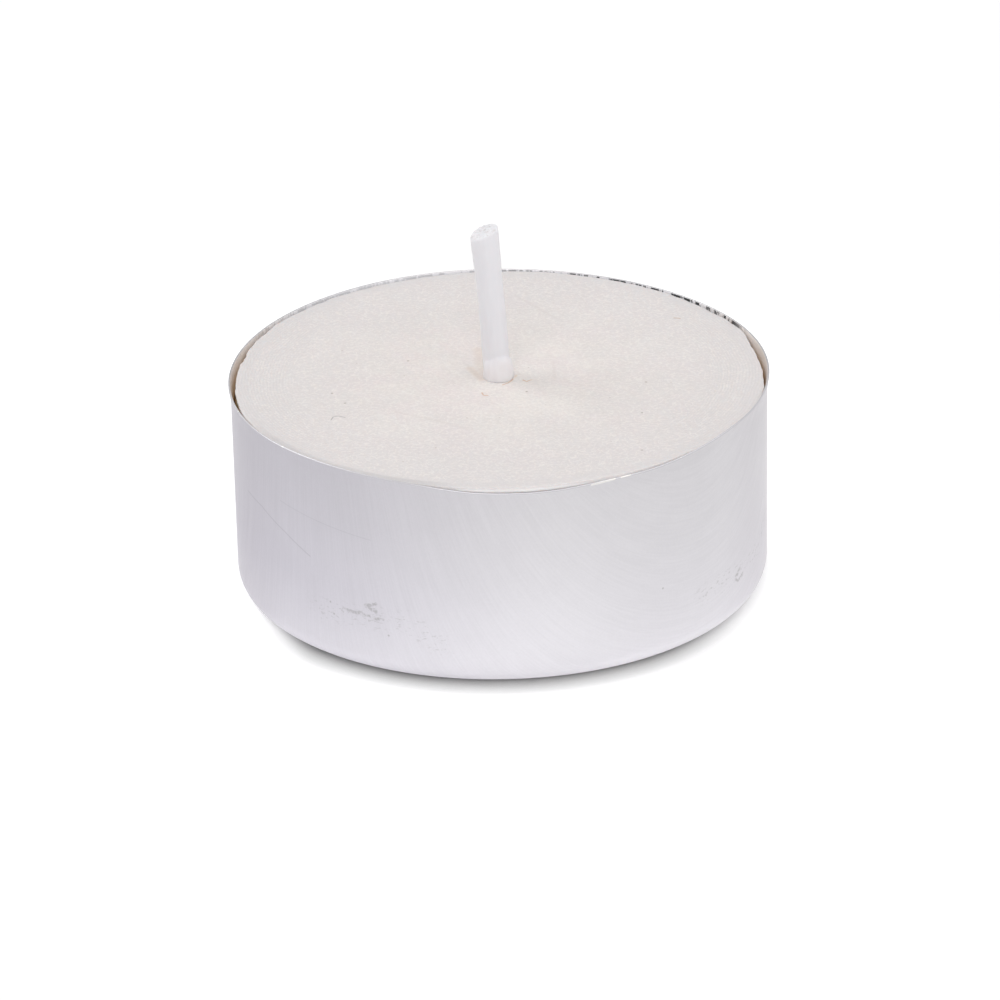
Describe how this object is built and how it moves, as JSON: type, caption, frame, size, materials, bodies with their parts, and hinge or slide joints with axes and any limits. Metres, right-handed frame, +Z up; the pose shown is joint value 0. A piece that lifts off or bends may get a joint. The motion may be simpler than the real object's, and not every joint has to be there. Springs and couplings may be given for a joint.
{
  "type": "tea light candle",
  "caption": "Tea light candle: pressed wax puck in a drawn aluminium cup with a flared rim, and a leaning waxed wick held by a crimped sustainer.",
  "frame": {"origin": "middle of the surface that the cup stands on, on the cup's axis", "axes": "+Z up along the cup's axis; the wick leans towards -X; -Y faces the viewer of the picture"},
  "size_m": [0.0384, 0.0382, 0.0268],
  "materials": {
    "cup": "satin rolled sheet, drawn",
    "wax": "pressed granular paraffin",
    "wick": "waxed cotton braid",
    "wick_sustainer": "tin-plated"
  },
  "bodies": {
    "root": {"cup": "cup", "wax": "wax", "wick": "wick", "wick_sustainer": "wick_sustainer"}
  },
  "joints": []
}
